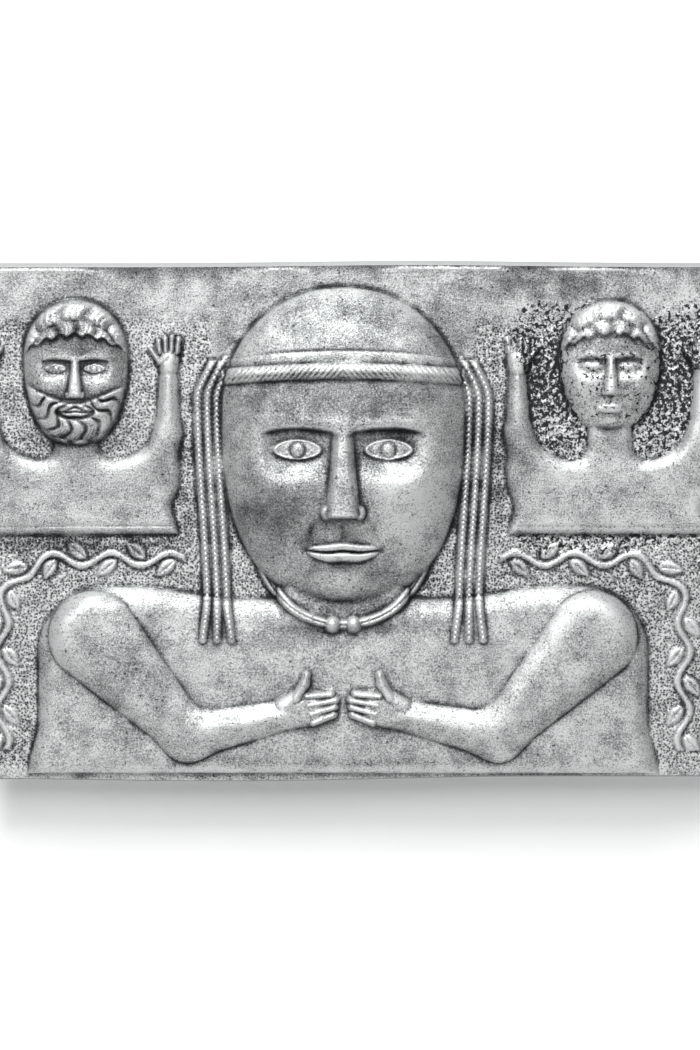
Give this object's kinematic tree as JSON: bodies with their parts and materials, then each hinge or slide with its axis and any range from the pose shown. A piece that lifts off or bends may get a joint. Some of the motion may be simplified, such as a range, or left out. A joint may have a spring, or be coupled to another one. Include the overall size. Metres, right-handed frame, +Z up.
{
  "type": "relief plaque",
  "caption": "Beaten silver relief plaque with a large frontal bust between small busts that raise their open hands, above a leaf scroll.",
  "frame": {"origin": "on the flat back of the top border, at mid-width and 5 mm below the top edge, where the plaque is fastened to its board", "axes": "+X to the viewer's right along the width, +Z up the height, +Y out of the back into the board, so that the relief faces -Y"},
  "size_m": [0.31, 0.0252, 0.2118],
  "materials": {
    "silver": "satin"
  },
  "bodies": {
    "root": {"plaque": "silver"}
  },
  "joints": []
}
